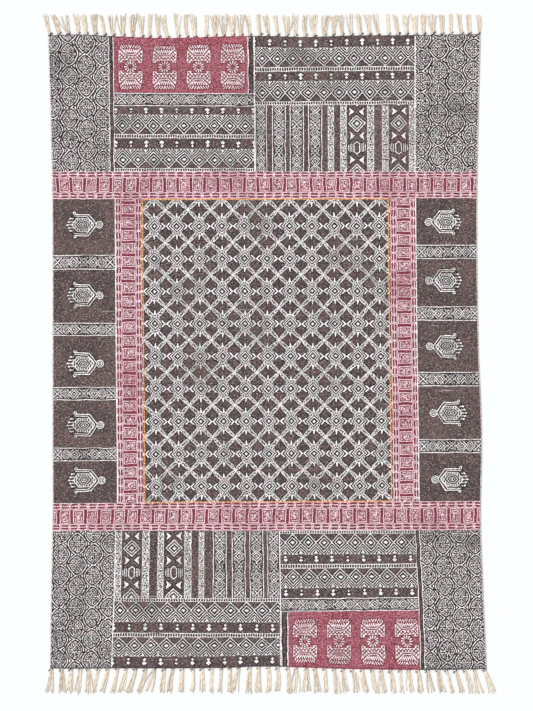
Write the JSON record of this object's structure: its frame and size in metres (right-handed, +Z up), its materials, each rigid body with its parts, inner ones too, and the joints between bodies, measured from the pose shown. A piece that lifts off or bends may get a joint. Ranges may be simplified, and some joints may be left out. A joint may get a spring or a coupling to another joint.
{
  "type": "dhurrie rug",
  "caption": "Flat-woven printed cotton rug, lying flat, with a knotted cotton fringe along each short end; a floor covering.",
  "frame": {"origin": "on the floor under the middle of the rug's outline, fringes included", "axes": "+X across the rug, +Y along it towards the fringe that is at the top of the picture, +Z up out of the printed face"},
  "size_m": [1.2484, 1.8764, 0.0052],
  "materials": {
    "printed_cloth": "matte flat-woven cotton, printed in dark brown and brick red with off-white motifs left in the print",
    "fringe_yarn": "undyed cream cotton warp yarn, knotted, with loose twisted ends"
  },
  "bodies": {
    "root": {"cloth": "printed_cloth", "fringe_top": "fringe_yarn", "fringe_bottom": "fringe_yarn"}
  },
  "joints": []
}
